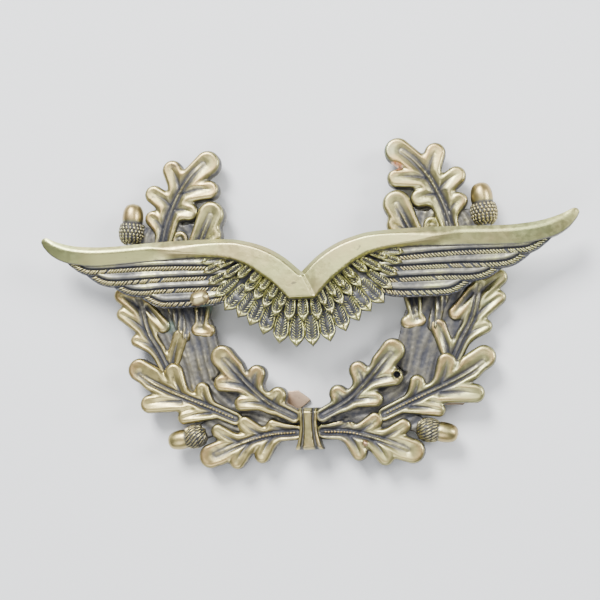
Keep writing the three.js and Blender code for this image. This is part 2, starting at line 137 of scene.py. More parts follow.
# Long feathers, from the bar downwards: top height, upper edge and lower edge, inner end first.
PRIMARIES = [
    dict(top=6.1, upper=[(9.5, 5.2), (18.8, 5.7), (31.0, 6.0)],
         lower=[(30.2, 5.2), (28.6, 4.1), (26.4, 3.7), (18.8, 3.75), (10.5, 3.4)]),
    dict(top=5.95, upper=[(9.5, 3.7), (18.8, 4.0), (28.2, 4.0)],
         lower=[(27.4, 3.3), (25.9, 2.45), (23.7, 2.15), (18.2, 2.25), (10.5, 2.2)]),
    dict(top=5.8, upper=[(9.5, 2.5), (18.0, 2.5), (24.8, 2.4)],
         lower=[(24.0, 1.8), (22.6, 1.05), (20.6, 0.75), (17.3, 0.85), (10.0, 0.8)]),
    dict(top=5.65, upper=[(9.5, 1.1), (16.0, 1.1), (21.4, 1.1)],
         lower=[(20.6, 0.45), (18.9, -0.55), (17.1, -0.85), (12.0, -0.75), (9.8, -0.3)]),
]
WEB = [(0, 1.5), (0, -4.6), (2.6, -4.4), (5.0, -3.2), (7.4, -1.5), (10.0, -0.4), (12.5, -0.4),
       (12.5, 5.2), (8.0, 4.6)]
WEB_TOP = 5.35
FEATHER_BACK = 0.16                          # how far the lowest feathers' backs lie above the wings' back
# Short feathers, lower row first: (tip x, tip y, lean in degrees) on the right-hand side.
FEATHER_ROWS = {
    "lower": dict(top=5.75, length=4.2, width=2.0, barbs=8, tips=[
        (1.05, -6.4, 3), (3.2, -5.9, 10), (5.2, -4.7, 18), (6.9, -3.5, 27), (8.4, -2.4, 36),
        (10.1, -1.4, 44)]),
    "middle": dict(top=6.15, length=3.8, width=1.45, barbs=8, tips=[
        (1.9, -3.25, 9), (3.65, -2.6, 18), (5.0, -1.5, 28), (6.2, -0.4, 36), (7.4, 0.7, 42),
        (11.2, 0.3, 52)]),
    "upper": dict(top=6.5, length=3.2, width=1.1, barbs=8, tips=[
        (2.9, -1.6, 20), (4.2, -0.5, 30), (5.4, 0.6, 38), (6.7, 1.7, 44), (8.3, 2.4, 50), (10.1, 2.6, 58),
        (12.0, 1.9, 62), (12.6, 3.4, 70), (12.9, 4.7, 80), (10.9, 4.1, 68)]),
}


# ---- Distances, for shapes drawn in the badge's plane ------------------------------------------
def smooth_step(low, high, value):
    t = np.clip((value - low) / (high - low), 0, 1)
    return t * t * (3 - 2 * t)


def segment_distance(points, start, end):
    start, end = np.array(start, float), np.array(end, float)
    along = end - start
    t = np.clip((points - start) @ along / max(along @ along, 1e-9), 0, 1)
    return np.linalg.norm(points - start - t[:, None] * along, axis=1), t


def path_distance(points, path):
    return np.min([segment_distance(points, a, b)[0] for a, b in zip(path, path[1:])], axis=0)


def lobes_field(lobes, side, blend=0.6):
    """Signed distance to a group of lobes whose meeting corners are filled in; negative inside."""
    def field(points):
        result = None
        for x0, y0, x1, y1, r0, r1 in lobes:
            away, t = segment_distance(points, (side * x0, y0), (side * x1, y1))
            one = away - (r0 + (r1 - r0) * t)
            if result is None:
                result = one
            else:
                mix = np.clip(0.5 + 0.5 * (result - one) / blend, 0, 1)
                result = result + (one - result) * mix - blend * mix * (1 - mix)
        return result
    return field


def outline_field(outline):
    """Signed distance to a closed outline; negative inside."""
    corners = np.array(outline, float)
    nexts = np.roll(corners, -1, axis=0)

    def field(points):
        away = np.full(len(points), 1e9)
        inside = np.zeros(len(points), bool)
        for a, b in zip(corners, nexts):
            away = np.minimum(away, segment_distance(points, a, b)[0])
            if a[1] != b[1]:
                crosses = (a[1] > points[:, 1]) != (b[1] > points[:, 1])
                edge_x = a[0] + (points[:, 1] - a[1]) * (b[0] - a[0]) / (b[1] - a[1])
                inside ^= crosses & (points[:, 0] < edge_x)
        return np.where(inside, -away, away)
    return field


def curve_through(points, steps=6):
    """A smooth run through the points, ends included."""
    points = [np.array(p, float) for p in points]
    ends = [2 * points[0] - points[1]] + points + [2 * points[-1] - points[-2]]
    run = []
    for p0, p1, p2, p3 in zip(ends, ends[1:], ends[2:], ends[3:]):
        for step in range(steps):
            t = step / steps
            run.append(0.5 * (2 * p1 + (p2 - p0) * t + (2 * p0 - 5 * p1 + 4 * p2 - p3) * t ** 2
                              + (3 * p1 - p0 - 3 * p2 + p3) * t ** 3))
    return run + [points[-1]]


def mirrored(points, side):
    return [(side * p[0], p[1]) for p in points]


def rough(points, scale, seed=1):
    """A smooth, irregular unevenness between about -1 and 1, the same on every run."""
    waves = np.random.default_rng(int(seed))
    total = np.zeros(len(points))
    for _ in range(9):
        angle = waves.uniform(0, 2 * math.pi)
        stretch = waves.uniform(0.7, 1.6)
        phase = waves.uniform(0, 2 * math.pi)
        lean = np.array([math.cos(angle), math.sin(angle)])
        bend = np.sin(points @ lean[::-1] * (0.6 / scale) + phase) * 0.9
        total += np.sin(points @ lean * (stretch / scale) + phase + bend)
    return total / 4.2


# ---- From a drawn shape to a closed piece ------------------------------------------------------
def patch(field, low, high, step):
    """Triangles that fill the inside of a field: (points, triangles), edge points on the line."""
    columns = int((high[0] - low[0]) / step) + 2
    rows = int((high[1] - low[1]) / step) + 2
    xs = low[0] + step * np.arange(columns)
    ys = low[1] + step * np.arange(rows)
    points = np.stack(np.meshgrid(xs, ys, indexing="ij"), -1).reshape(-1, 2)
    value = field(points)

    def slope(at):
        nudge = step * 0.2
        return np.stack([field(at + [nudge, 0]) - field(at - [nudge, 0]),
                         field(at + [0, nudge]) - field(at - [0, nudge])], 1) / (2 * nudge)

    near = np.abs(value) < 0.33 * step
    moved = points[near]
    for _ in range(2):
        lean = slope(moved)
        moved = moved - lean * (field(moved) / np.maximum((lean ** 2).sum(1), 0.25))[:, None]
    shift = moved - points[near]
    points[near] += np.clip(shift, -0.45 * step, 0.45 * step)
    value[near] = 0
    index = np.arange(columns * rows).reshape(columns, rows)
    a, b = index[:-1, :-1].ravel(), index[1:, :-1].ravel()
    c, d = index[1:, 1:].ravel(), index[:-1, 1:].ravel()
    odd = (np.add.outer(np.arange(columns - 1), np.arange(rows - 1)) % 2).ravel() == 1
    triangles = np.concatenate([
        np.stack([a, b, c], 1)[odd], np.stack([a, c, d], 1)[odd],
        np.stack([a, b, d], 1)[~odd], np.stack([b, c, d], 1)[~odd]])
    signs = np.sign(value[triangles])
    whole = (signs <= 0).all(1) & (signs < 0).any(1)
    cut = (signs < 0).any(1) & (signs > 0).any(1)
    kept = triangles[whole].tolist()
    extra, crossing = [], {}

    def cross(inner, outer):
        key = (min(inner, outer), max(inner, outer))
        if key not in crossing:
            t = value[inner] / (value[inner] - value[outer])
            crossing[key] = len(points) + len(extra)
            extra.append(points[inner] + t * (points[outer] - points[inner]))
        return crossing[key]

    for triangle in triangles[cut].tolist():
        polygon = []
        for here, there in zip(triangle, triangle[1:] + triangle[:1]):
            if value[here] <= 0:
                polygon.append(here)
            if value[here] * value[there] < 0:
                inner, outer = (here, there) if value[here] < 0 else (there, here)
                polygon.append(cross(inner, outer))
        for i in range(1, len(polygon) - 1):
            kept.append([polygon[0], polygon[i], polygon[i + 1]])
    if extra:
        points = np.concatenate([points, np.array(extra)])
    kept = np.array(kept)
    used, kept = np.unique(kept, return_inverse=True)
    return points[used], kept.reshape(-1, 3)


def wall_edges(triangles):
    edges = {}
    for triangle in triangles.tolist():
        for a, b in zip(triangle, triangle[1:] + triangle[:1]):
            if (b, a) in edges:
                del edges[(b, a)]
            else:
                edges[(a, b)] = True
    return list(edges)


def closed_piece(name, points, triangles, top, back, hollow, bare=None):
    """A solid with a modelled front (height top at each point) and a flat back."""
    count = len(points)
    back = np.broadcast_to(back, count)
    edges = wall_edges(triangles)
    rim = sorted({i for edge in edges for i in edge})
    middle_of = {i: 2 * count + k for k, i in enumerate(rim)}
    middle = (top[rim] + back[rim]) / 2
    vertices = np.concatenate([
        np.column_stack([points, top]), np.column_stack([points, back]),
        np.column_stack([points[rim], middle])]) * MM
    faces = triangles.tolist() + (triangles[:, ::-1] + count).tolist()
    for a, b in edges:
        faces.append([b, a, middle_of[a], middle_of[b]])
        faces.append([middle_of[b], middle_of[a], a + count, b + count])
    mesh = bpy.data.meshes.new(name)
    mesh.from_pydata(vertices.tolist(), [], faces)
    shade = np.concatenate([hollow, np.full(count, 0.38), hollow[rim] * 0.5 + 0.35])
    stain = np.max([0.40 * (1 - smooth_step(0.2, 1.0, np.linalg.norm(points - place, axis=1) / reach))
                    for place, reach in STAINS], axis=0)
    stain = np.concatenate([stain, np.zeros(count), stain[rim]])
    if stain.any():
        mesh.attributes.new("stain", "FLOAT", "POINT").data.foreach_set("value", stain.astype(np.float32))
    mesh.attributes.new("hollow", "FLOAT", "POINT").data.foreach_set("value", shade.astype(np.float32))
    if bare is not None:
        raw = np.concatenate([bare, np.zeros(count), bare[rim]])
        mesh.attributes.new("bare", "FLOAT", "POINT").data.foreach_set("value", raw.astype(np.float32))
    return finish_mesh(name, mesh)


def finish_mesh(name, mesh, sharp=38):
    mesh.validate()
    mesh.shade_smooth()
    mesh.set_sharp_from_angle(angle=math.radians(sharp))
    piece = bpy.data.objects.new(name, mesh)
    bpy.context.collection.objects.link(piece)
    return piece


def edge_drop(depth, radius):
    """How far a rounded edge lies below the top, at a depth inside the outline."""
    t = 1 - np.clip(depth / radius, 0, 1)
    return radius * (1 - np.sqrt(np.maximum(1 - t * t, 0)))


def lobes_box(lobes, side, margin=0.4):
    ends = [(side * x, y, r) for x0, y0, x1, y1, r0, r1 in lobes for x, y, r in ((x0, y0, r0), (x1, y1, r1))]
    low = (min(x - r for x, _, r in ends) - margin, min(y - r for _, y, r in ends) - margin)
    high = (max(x + r for x, _, r in ends) + margin, max(y + r for _, y, r in ends) + margin)
    return low, high


# ---- Materials ---------------------------------------------------------------------------------
class Look:
    """A material being wired up."""

    def __init__(self, name):
        self.material = bpy.data.materials.new(name)
        self.material.use_nodes = True
        self.tree = self.material.node_tree
        self.shader = self.tree.nodes["Principled BSDF"]
        self.place = self.node("ShaderNodeTexCoord").outputs["Object"]

    def node(self, kind, **settings):
        made = self.tree.nodes.new(kind)
        for key, value in settings.items():
            setattr(made, key, value)
        return made

    def link(self, source, target):
        self.tree.links.new(source, target)

    def noise(self, scale, detail=3.0, roughness=0.55):
        made = self.node("ShaderNodeTexNoise")
        made.inputs["Scale"].default_value = scale
        made.inputs["Detail"].default_value = detail
        made.inputs["Roughness"].default_value = roughness
        self.link(self.place, made.inputs["Vector"])
        return made.outputs["Fac"]

    def attribute(self, name):
        return self.node("ShaderNodeAttribute", attribute_name=name).outputs["Fac"]

    def sums(self, operation, first, second):
        made = self.node("ShaderNodeMath", operation=operation)
        for socket, value in zip(made.inputs, (first, second)):
            if isinstance(value, (int, float)):
                socket.default_value = value
            else:
                self.link(value, socket)
        return made.outputs[0]

    def spread(self, value, low, high, to_low=0.0, to_high=1.0):
        made = self.node("ShaderNodeMapRange", interpolation_type="SMOOTHSTEP")
        self.link(value, made.inputs["Value"])
        for key, number in (("From Min", low), ("From Max", high), ("To Min", to_low), ("To Max", to_high)):
            made.inputs[key].default_value = number
        return made.outputs["Result"]

    def blend(self, amount, first, second):
        made = self.node("ShaderNodeMix", data_type="RGBA")
        self.link(amount, made.inputs["Factor"])
        for socket, value in ((made.inputs["A"], first), (made.inputs["B"], second)):
            if isinstance(value, tuple):
                socket.default_value = (*value, 1)
            else:
                self.link(value, socket)
        return made.outputs["Result"]

    def bump(self, height, strength, distance):
        made = self.node("ShaderNodeBump")
        made.inputs["Strength"].default_value = strength
        made.inputs["Distance"].default_value = distance
        self.link(height, made.inputs["Height"])
        return made.outputs["Normal"]


RAW_METAL = (0.66, 0.40, 0.26)
VERDIGRIS = (0.20, 0.34, 0.26)
# Green corrosion: (place, reach).
STAINS = [((-12.6, -0.7), 1.0), ((11.3, 18.4), 1.5), ((22.4, -1.6), 0.8), ((-17.9, -3.0), 1.2)]


def aged_brass(name, bright, worn, tarnish, dark, green, roughness=0.40, pits=0.5):
    """Old brass: bright where it is handled, tarnished in patches, and dark where the per-point darkening is
    high: patina in the hollows, and painted shade on rounded edges, the bar's lower edge, the ribbon's ends
    and the undersides of beads, scales and barbs.
    """
    look = Look(name)
    # Per-point darkening: patina in the hollows, and painted shade on edges and undersides.
    hollow = look.attribute("hollow")
    cloud = look.noise(170, 4)
    speck = look.noise(1500, 3, 0.65)
    drift = look.noise(60, 2)
    colour = look.blend(look.spread(drift, 0.42, 0.66, 0, 0.75), bright, green)
    handled = look.sums("SUBTRACT", look.sums("MULTIPLY", cloud, 0.5), hollow)
    colour = look.blend(look.spread(handled, 0.16, 0.32, 0, 0.8), colour, worn)
    uneven = look.sums("ADD", hollow, look.sums("MULTIPLY", look.sums("SUBTRACT", cloud, 0.5), 0.9))
    uneven = look.sums("ADD", uneven, look.sums("MULTIPLY", look.sums("SUBTRACT", speck, 0.5), 0.6))
    colour = look.blend(look.spread(uneven, 0.10, 0.50), colour, tarnish)
    colour = look.blend(look.spread(uneven, 0.46, 0.95), colour, dark)
    spots = look.spread(look.noise(720, 2), 0.66, 0.74, 0, 0.55)
    colour = look.blend(spots, colour, dark)
    stain = look.attribute("stain")
    colour = look.blend(look.sums("MULTIPLY", stain, look.spread(cloud, 0.35, 0.6)), colour, VERDIGRIS)
    colour = look.blend(look.spread(look.attribute("bare"), 0.25, 0.75), colour, RAW_METAL)
    look.link(colour, look.shader.inputs["Base Color"])
    dull = look.spread(uneven, 0.15, 0.85, roughness, 0.66)
    grain = look.spread(speck, 0.35, 0.75, -0.05, 0.10)
    look.link(look.sums("ADD", dull, grain), look.shader.inputs["Roughness"])
    look.link(look.spread(uneven, 0.35, 0.95, 1.0, 0.45), look.shader.inputs["Metallic"])
    fine = look.sums("ADD", look.sums("MULTIPLY", speck, 0.5), look.sums("MULTIPLY", look.noise(420, 3), 0.9))
    look.link(look.bump(fine, pits, 0.00006), look.shader.inputs["Normal"])
    look.shader.inputs["Coat Weight"].default_value = 0.2
    look.shader.inputs["Coat Roughness"].default_value = 0.24
    return look.material


WREATH_BRASS = aged_brass("wreath_brass", bright=(0.435, 0.365, 0.155), worn=(0.47, 0.315, 0.130),
                          tarnish=(0.150, 0.140, 0.112), dark=(0.045, 0.046, 0.056), green=(0.36, 0.36, 0.17),
                          roughness=0.36)
WING_BRASS = aged_brass("wing_brass", bright=(0.455, 0.445, 0.19), worn=(0.48, 0.39, 0.185),
                        tarnish=(0.175, 0.168, 0.138), dark=(0.050, 0.052, 0.064), green=(0.385, 0.42, 0.185),
                        roughness=0.36)
BARB_BRASS = aged_brass("barb_brass", bright=(0.50, 0.44, 0.225), worn=(0.48, 0.38, 0.20),
                        tarnish=(0.22, 0.21, 0.165), dark=(0.065, 0.065, 0.074), green=(0.41, 0.42, 0.22),
                        roughness=0.40)
STRIP_BRASS = aged_brass("strip_brass", bright=(0.42, 0.29, 0.20), worn=(0.38, 0.25, 0.18),
                         tarnish=(0.24, 0.17, 0.13), dark=(0.10, 0.08, 0.075), green=(0.35, 0.28, 0.18),
                         roughness=0.42, pits=0.3)


def dress(piece, material, body, node):
    piece.data.transform(Matrix.Translation((0, CENTRE_SHIFT * MM, 0)))
    piece.data.materials.clear()
    piece.data.materials.append(material)
    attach(piece, body)
    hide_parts(*([node] if isinstance(node, str) else node))
    return piece


# ---- Wreath ------------------------------------------------------------------------------------
def side_name(side):
    return "right" if side > 0 else "left"


def vein_of(lobe, midrib, side):
    """A side vein: it leaves the midrib leaning forwards, then bends out to the lobe's tip."""
    x0, y0, x1, y1, _, tip_radius = lobe
    start, tip = np.array([side * x0, y0]), np.array([side * x1, y1])
    reach = np.linalg.norm(tip - start)
    tip = tip + (tip - start) / reach * tip_radius * 0.15
    forwards = np.array(midrib[-1]) - np.array(midrib[0])
    forwards /= np.linalg.norm(forwards)
    bend = (start + tip) / 2 + forwards * reach * 0.14
    return [start * (1 - t) ** 2 + 2 * bend * t * (1 - t) + tip * t * t for t in np.linspace(0, 1, 7)]


def is_side_lobe(lobe, midrib):
    tip = np.array([[lobe[2], lobe[3]]], float)
    return path_distance(tip, midrib)[0] > 0.9


def dent(points, path, deep, wide, fade):
    """A valley along a path; its far end is shallower by the share fade."""
    result = np.zeros(len(points))
    count = len(path) - 1
    for k, (here, there) in enumerate(zip(path, path[1:])):
        away, t = segment_distance(points, here, there)
        depth = deep * (1 - fade * (k + t) / count)
        result = np.maximum(result, depth * (1 - smooth_step(0.0, wide, away)))
    return result


def soft_most(first, second, blend):
    """The greater of two depths, with the crease between them rounded."""
    return -soft_least(-first, -second, blend)


def share_along(points, path):
    """How far along a path each point's nearest place on it lies, from 0 to 1."""
    best, share = np.full(len(points), 1e9), np.zeros(len(points))
    count = len(path) - 1
    for k, (here, there) in enumerate(zip(path, path[1:])):
        away, t = segment_distance(points, here, there)
        share = np.where(away < best, (k + t) / count, share)
        best = np.minimum(best, away)
    return share


# Valleys in a leaf: (depth, half width, share by which the far end is shallower).
MIDRIB_VALLEY = (0.58, 1.5, 0.6)
VEIN_VALLEY = (0.40, 0.9, 0.85)
VEIN_CUT = (0.14, 0.22, 0.9)
LEAF_EDGE = 0.6                              # radius of a leaf's rounded edge
BEADS_SUNK = 0.40                            # how far a beaded rib lies below its leaf's top


def leaf(name, spec, side, back):
    """A leaf with a sunken midrib, side veins to its lobes and a rounded edge; darker where it is low
    (patina) and on the rounded edge (painted shade).
    """
    lobes, midrib = spec["lobes"], curve_through(mirrored(spec["midrib"], side), 4)
    field = lobes_field(lobes, side)
    points, triangles = patch(field, *lobes_box(lobes, side), FINE)
    depth = -field(points)
    veins = [vein_of(lobe, midrib, side) for lobe in lobes
             if is_side_lobe(lobe, spec["midrib"]) and not spec.get("plain")]
    to_rib = path_distance(points, midrib)
    valley = dent(points, midrib, *MIDRIB_VALLEY)
    for vein in veins:
        valley = soft_most(valley, dent(points, vein, *VEIN_VALLEY), 0.10)
    inside = smooth_step(0.05, 0.9, depth)
    sunk = valley * inside
    drop = edge_drop(depth, LEAF_EDGE)
    near_tip = 1 - smooth_step(0.55, 1.0, share_along(points, midrib))
    on_lobe = smooth_step(0.10, 0.40, to_rib)
    cord = (0.03 + 0.17 * near_tip) * np.exp(-(to_rib / 0.15) ** 2)
    flank = (0.03 + 0.11 * near_tip) * np.exp(-((to_rib - 0.33) / 0.12) ** 2)
    cuts = np.max([dent(points, vein, *VEIN_CUT) * on_lobe for vein in veins] + [0 * to_rib], axis=0)
    swell = 0.06 * rough(points, 1.3, 10 * spec["top"] + side)
    top = spec["top"] - sunk - drop + (cord - flank - cuts) * inside + swell
    # Patina in the sunken midrib, veins and cuts; the darkening on the rounded edge is painted shade.
    hollow = 1.05 * sunk / MIDRIB_VALLEY[0] + 0.85 * drop / LEAF_EDGE - 0.09
    hollow += (3.6 * flank + 3.8 * cuts - 1.6 * cord) * inside
    top, hollow, bare = wear_marks(name, points, top, np.clip(hollow, 0, 1))
    piece = closed_piece(name, points, triangles, top, back, hollow, bare)
    if spec["beads"]:
        return piece, (midrib, spec["top"] - BEADS_SUNK)
    return piece, None


def wear_marks(name, points, top, hollow):
    """Damage on single leaves: a hole, a crack, a lump of solder and a chip that shows raw metal."""
    bare = np.zeros(len(points))
    if name == "right_inner_leaf":
        away = np.linalg.norm(points - (11.2, -10.2), axis=1)
        top = top - 1.1 * (1 - smooth_step(0.24, 0.42, away)) + 0.12 * np.exp(-((away - 0.52) / 0.10) ** 2)
        hollow = np.maximum(hollow, 1.3 * (1 - smooth_step(0.30, 0.46, away)))
        hollow = hollow * (1 - 0.8 * np.exp(-((away - 0.54) / 0.10) ** 2))
    if name in ("right_bottom_leaf", "right_inner_leaf"):
        away = segment_distance(points, (3.2, -15.35), (5.2, -15.55))[0] + 0.12 * rough(points, 0.25, 1.0)
        top = top - 0.8 * (1 - smooth_step(0.05, 0.42, away))
        hollow = np.maximum(hollow, 1.2 * (1 - smooth_step(0.15, 0.5, away)))
    if name == "right_bottom_leaf":
        away = np.linalg.norm((points - (6.9, -18.5)) * (1.0, 0.8), axis=1)
        top = top + 0.30 * (1 - smooth_step(0.0, 0.5, away))
        bare = np.maximum(bare, 0.6 * (1 - smooth_step(0.2, 0.55, away)))
    if name == "right_top_leaf":
        away = segment_distance(points, (10.4, 16.6), (12.4, 16.1))[0] + 0.15 * rough(points, 0.3, 2.0)
        chip = 1 - smooth_step(0.25, 0.7, away)
        top = top - 0.45 * chip + 0.10 * chip * rough(points, 0.12, 1.0)
        bare = np.maximum(bare, chip)
        hollow = hollow * (1 - chip)
    return top, np.clip(hollow, 0, 1), bare


def ground(name, side):
    """The plate that the leaves stand on, fluted along the branch."""
    under = lobes_field(GROUND, side, 0.5)

    def field(points):
        """It ends under the ribbon."""
        return np.maximum(under(points), 0.9 - side * points[:, 0])
    points, triangles = patch(field, *lobes_box(GROUND, side), FINE * 1.3)
    depth = -field(points)
    middle = mirrored([lobe[:2] for lobe in GROUND[:7]], side)
    across = path_distance(points, middle) + 0.30 * rough(points, 1.3, 1.0)
    bumps = 0.06 * np.sin(across * 6.0) + 0.05 * rough(points, 0.7, 2.0) + 0.015 * rough(points, 0.16, 5.0)
    top = GROUND_TOP - edge_drop(depth, 0.3) + bumps * smooth_step(0, 0.3, depth)
    hollow = np.clip(0.66 - 1.9 * bumps, 0.4, 0.95)
    return closed_piece(name, points, triangles, top, WREATH_BACK, hollow)


def stem(name, side):
    """The bare stretch of branch below the wings."""
    field = lobes_field(STEM, side, 0.4)
    points, triangles = patch(field, *lobes_box(STEM, side), FINE)
    depth = -field(points)
    bark = 0.10 * np.sin(points[:, 0] * 9 + 1.2 * np.sin(points[:, 1] * 0.9))
    bark += 0.05 * rough(points, 0.2, 3.0)
    top = STEM_TOP - edge_drop(depth, 0.7) + bark * smooth_step(0, 0.3, depth)
    hollow = np.clip(0.52 - 2.6 * bark, 0, 1)
    return closed_piece(name, points, triangles, top, WREATH_BACK + BACK_STEP, hollow)


def ring_faces(rings, around):
    """The faces of a tube of rings, closed at both ends."""
    faces = []
    for ring in range(rings - 1):
        for k in range(around):
            a, b = ring * around + k, ring * around + (k + 1) % around
            faces.append([a, b, b + around, a + around])
    faces.append(list(range(around))[::-1])
    faces.append([(rings - 1) * around + k for k in range(around)])
    return faces


def shade_evenly(mesh, hollow):
    if "hollow" not in mesh.attributes:
        mesh.attributes.new("hollow", "FLOAT", "POINT")
    mesh.attributes["hollow"].data.foreach_set("value", np.full(len(mesh.vertices), hollow, np.float32))


def turned(name, profile, start, end, middle, floor, around=40):
    """A round piece on its side: profile is (distance along, radius) from start towards end.

    What would lie under the floor is flattened on it, one small step a ring.
    """
    start, end = np.array(start, float), np.array(end, float)
    along = (end - start) / np.linalg.norm(end - start)
    across = np.array([-along[1], along[0]])
    vertices = []
    for ring, (distance, radius) in enumerate(profile):
        for k in range(around):
            angle = 2 * math.pi * k / around
            flat = start + along * distance + across * radius * math.cos(angle)
            height = max(middle + radius * math.sin(angle), floor + FLOOR_STEP * ring)
            vertices.append((flat[0], flat[1], height))
    mesh = bpy.data.meshes.new(name)
    mesh.from_pydata([(x * MM, y * MM, z * MM) for x, y, z in vertices], [], ring_faces(len(profile), around))
    tidy_mesh(mesh)
    shade_evenly(mesh, CUP_SHADE)
    return finish_mesh(name, mesh)


def tidy_mesh(mesh):
    """Merges doubled corners and turns every face outwards."""
    work = bmesh.new()
    work.from_mesh(mesh)
    bmesh.ops.remove_doubles(work, verts=work.verts, dist=1e-7)
    bmesh.ops.recalc_face_normals(work, faces=work.faces)
    work.to_mesh(mesh)
    work.free()




def round_share(angle, fullness):
    """Radius of a full-bodied round shape at an angle from its middle, as a share of the widest."""
    return max(math.cos(angle), 0.0) ** fullness


def acorn(name, spec, side):
    """The nut and its cup. Returns both, and the cup's centre, direction and radius."""
    cup_x, cup_y, nut_x, nut_y, cup_radius, nut_radius = spec
    cup, nut = np.array([side * cup_x, cup_y]), np.array([side * nut_x, nut_y])
    reach = np.linalg.norm(nut - cup)
    along = (nut - cup) / reach
    half_length = (reach + nut_radius - 0.1) / 2
    wide = nut_radius * 0.96
    nut_profile = [(0.1 + half_length * (1 + math.sin(a)), max(wide * round_share(a, 0.62), 0.02))
                   for a in np.linspace(-0.5 * math.pi, 0.47 * math.pi, 22)]
    end = nut_profile[-1][0]
    nut_profile += [(end + 0.05, 0.12), (end + 0.09, 0.07), (end + 0.11, 0.02)]
    nut_piece = turned(f"{name}_nut", nut_profile, cup, nut, ACORN_MIDDLE, WREATH_BACK + 2 * BACK_STEP)
    places = np.array([v.co[:2] for v in nut_piece.data.vertices]) / MM
    from_lip = (places - cup) @ along - cup_radius * math.sin(CUP_LIP)
    shade = np.clip(0.85 - from_lip * 1.6, 0.03, 0.9)
    nut_piece.data.attributes["hollow"].data.foreach_set("value", shade.astype(np.float32))
    cup_profile = [(cup_radius * math.sin(a), max(cup_radius * round_share(a, 0.6), 0.02))
                   for a in np.linspace(-0.5 * math.pi, CUP_LIP, 16)]
    edge = cup_profile[-1]
    cup_profile += [(edge[0] + 0.10, edge[1] - 0.08), (edge[0] + 0.06, edge[1] - 0.25),
                    (edge[0] - 0.2, edge[1] - 0.6)]
    cup_piece = turned(f"{name}_cup", cup_profile, cup, nut, ACORN_MIDDLE, WREATH_BACK)
    return nut_piece, cup_piece, (cup, along, cup_radius)


# ---- Geometry Nodes: small things set out over points ------------------------------------------
def placing_tree(name, small_piece, material, size_name):
    """Sets small_piece on every point, turned by the point's 'turn' and stretched by its 'stretch'."""
    tree = bpy.data.node_groups.new(name, "GeometryNodeTree")
    tree.interface.new_socket("Geometry", in_out="INPUT", socket_type="NodeSocketGeometry")
    size = tree.interface.new_socket(size_name, in_out="INPUT", socket_type="NodeSocketFloat")
    size.default_value = 1.0
    tree.interface.new_socket("Geometry", in_out="OUTPUT", socket_type="NodeSocketGeometry")
    nodes, links = tree.nodes, tree.links
    entry, leave = nodes.new("NodeGroupInput"), nodes.new("NodeGroupOutput")
    shape = nodes.new("GeometryNodeObjectInfo")
    shape.inputs["Object"].default_value = small_piece
    turn = nodes.new("GeometryNodeInputNamedAttribute")
    turn.data_type = "FLOAT_VECTOR"
    turn.inputs["Name"].default_value = "turn"
    stretch = nodes.new("GeometryNodeInputNamedAttribute")
    stretch.data_type = "FLOAT_VECTOR"
    stretch.inputs["Name"].default_value = "stretch"
    scaled = nodes.new("ShaderNodeVectorMath")
    scaled.operation = "SCALE"
    place = nodes.new("GeometryNodeInstanceOnPoints")
    rotate = nodes.new("FunctionNodeEulerToRotation")
    real = nodes.new("GeometryNodeRealizeInstances")
    paint = nodes.new("GeometryNodeSetMaterial")
    paint.inputs["Material"].default_value = material
    links.new(entry.outputs["Geometry"], place.inputs["Points"])
    links.new(shape.outputs["Geometry"], place.inputs["Instance"])
    links.new(turn.outputs["Attribute"], rotate.inputs["Euler"])
    links.new(rotate.outputs["Rotation"], place.inputs["Rotation"])
    links.new(stretch.outputs["Attribute"], scaled.inputs[0])
    links.new(entry.outputs[size_name], scaled.inputs["Scale"])
    links.new(scaled.outputs["Vector"], place.inputs["Scale"])
    links.new(place.outputs["Instances"], real.inputs["Geometry"])
    links.new(real.outputs["Geometry"], paint.inputs["Geometry"])
    links.new(paint.outputs["Geometry"], leave.inputs["Geometry"])
    return tree, size.identifier


def set_out(name, tree, identifier, size, places):
    """A finished mesh of small pieces. places is a list of (position mm, turn, stretch)."""
    mesh = bpy.data.meshes.new(name)
    mesh.from_pydata([tuple(c * MM for c in place[0]) for place in places], [], [])
    for key, column in (("turn", 1), ("stretch", 2)):
        layer = mesh.attributes.new(key, "FLOAT_VECTOR", "POINT")
        layer.data.foreach_set("vector", np.array([place[column] for place in places], np.float32).ravel())
    guide = bpy.data.objects.new(name + "_guide", mesh)
    bpy.context.collection.objects.link(guide)
    modifier = guide.modifiers.new("places", "NODES")
    modifier.node_group = tree
    modifier[identifier] = size
    bpy.context.view_layer.update()
    made = bpy.data.meshes.new_from_object(guide.evaluated_get(bpy.context.evaluated_depsgraph_get()))
    bpy.data.objects.remove(guide)
    made.name = name
    for key in ("turn", "stretch"):
        if key in made.attributes:
            made.attributes.remove(made.attributes[key])
    return finish_mesh(name, made, 60)


def small_shape(name, width, length, height, hollow, steps=8, rings=5, taper=0.0):
    """A half-buried pebble of the given size, one unit of stretch, lying along +X."""
    mesh = bpy.data.meshes.new(name)
    work = bmesh.new()
    bmesh.ops.create_uvsphere(work, u_segments=steps, v_segments=rings, radius=0.5)
    for vertex in work.verts:
        x, y, z = vertex.co
        slim = 1 - taper * (x + 0.5)
        vertex.co = Vector((x * length * MM, y * width * slim * MM, z * height * MM))
    layer = work.verts.layers.float.new("hollow")
    # Darker towards the bottom, lighter on top: painted shade and painted highlight.
    for vertex in work.verts:
        vertex[layer] = float(np.clip(hollow - vertex.co.z / (height * MM) * 0.8, 0, 1))
    work.to_mesh(mesh)
    work.free()
    mesh.shade_smooth()
    shape = bpy.data.objects.new(name, mesh)
    bpy.context.collection.objects.link(shape)
    return shape


BEAD_SPACING = 0.36


def bead_places(midrib, height):
    places, walked, last = [], 0.0, None
    for point in curve_through(midrib, 8):
        if last is not None:
            walked += np.linalg.norm(point - last)
            if walked > BEAD_SPACING:
                places.append(((point[0], point[1], height), (0, 0, 0), (1, 1, 1)))
                walked = 0.0
        last = point
    return places


